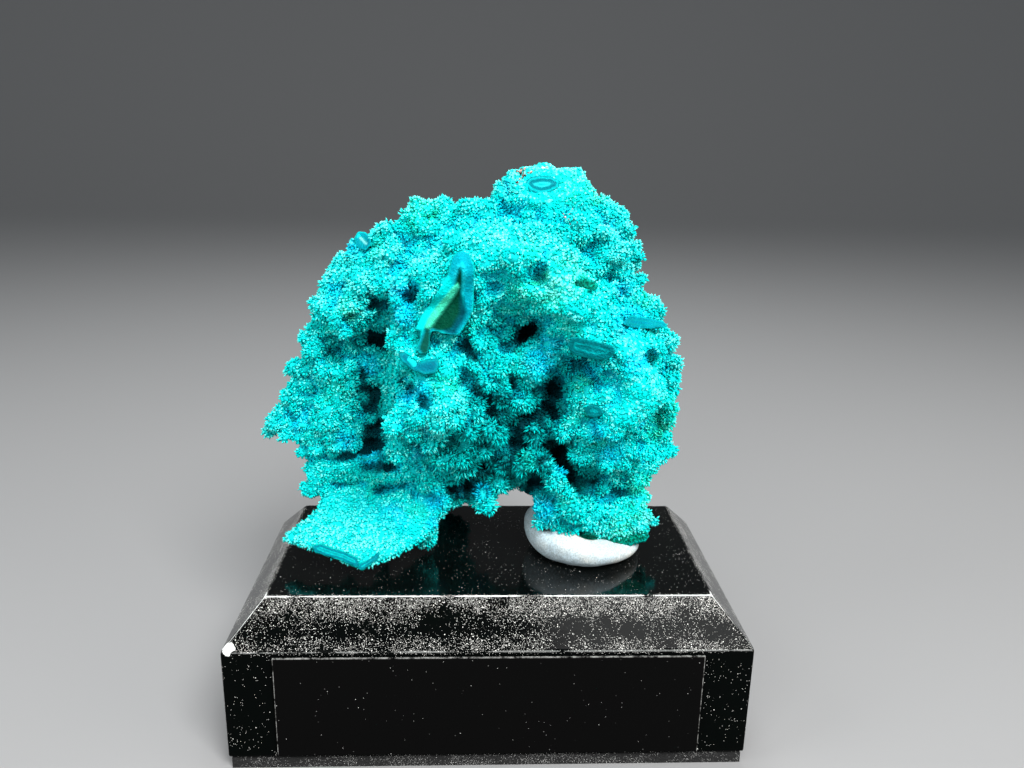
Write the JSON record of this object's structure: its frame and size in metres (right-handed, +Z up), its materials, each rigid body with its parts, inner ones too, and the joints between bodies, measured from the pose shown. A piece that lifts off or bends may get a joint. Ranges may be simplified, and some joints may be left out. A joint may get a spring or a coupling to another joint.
{
  "type": "chrysocolla specimen on display block",
  "caption": "Velvety turquoise mineral cluster with pits, a side slab and a leg, resting on white tack on a chamfered black block with a bare label.",
  "frame": {"origin": "middle of the underside of the felt pad, which stands on the table", "axes": "+Z up, -Y out of the labelled front face, +X along the block's long side"},
  "size_m": [0.057, 0.0358, 0.0649],
  "materials": {
    "mineral": "velvet of fine needles, turquoise with blue hollows",
    "tack": "matte white putty",
    "lacquered_block": "glossy black lacquer, dusty, with worn edges",
    "label_tape": "satin black tape with a thin pale outline",
    "felt": "black felt"
  },
  "bodies": {
    "root": {"chrysocolla": "mineral", "mineral_tack": "tack", "display_block": "lacquered_block", "label": "label_tape", "felt_pad": "felt"}
  },
  "joints": []
}
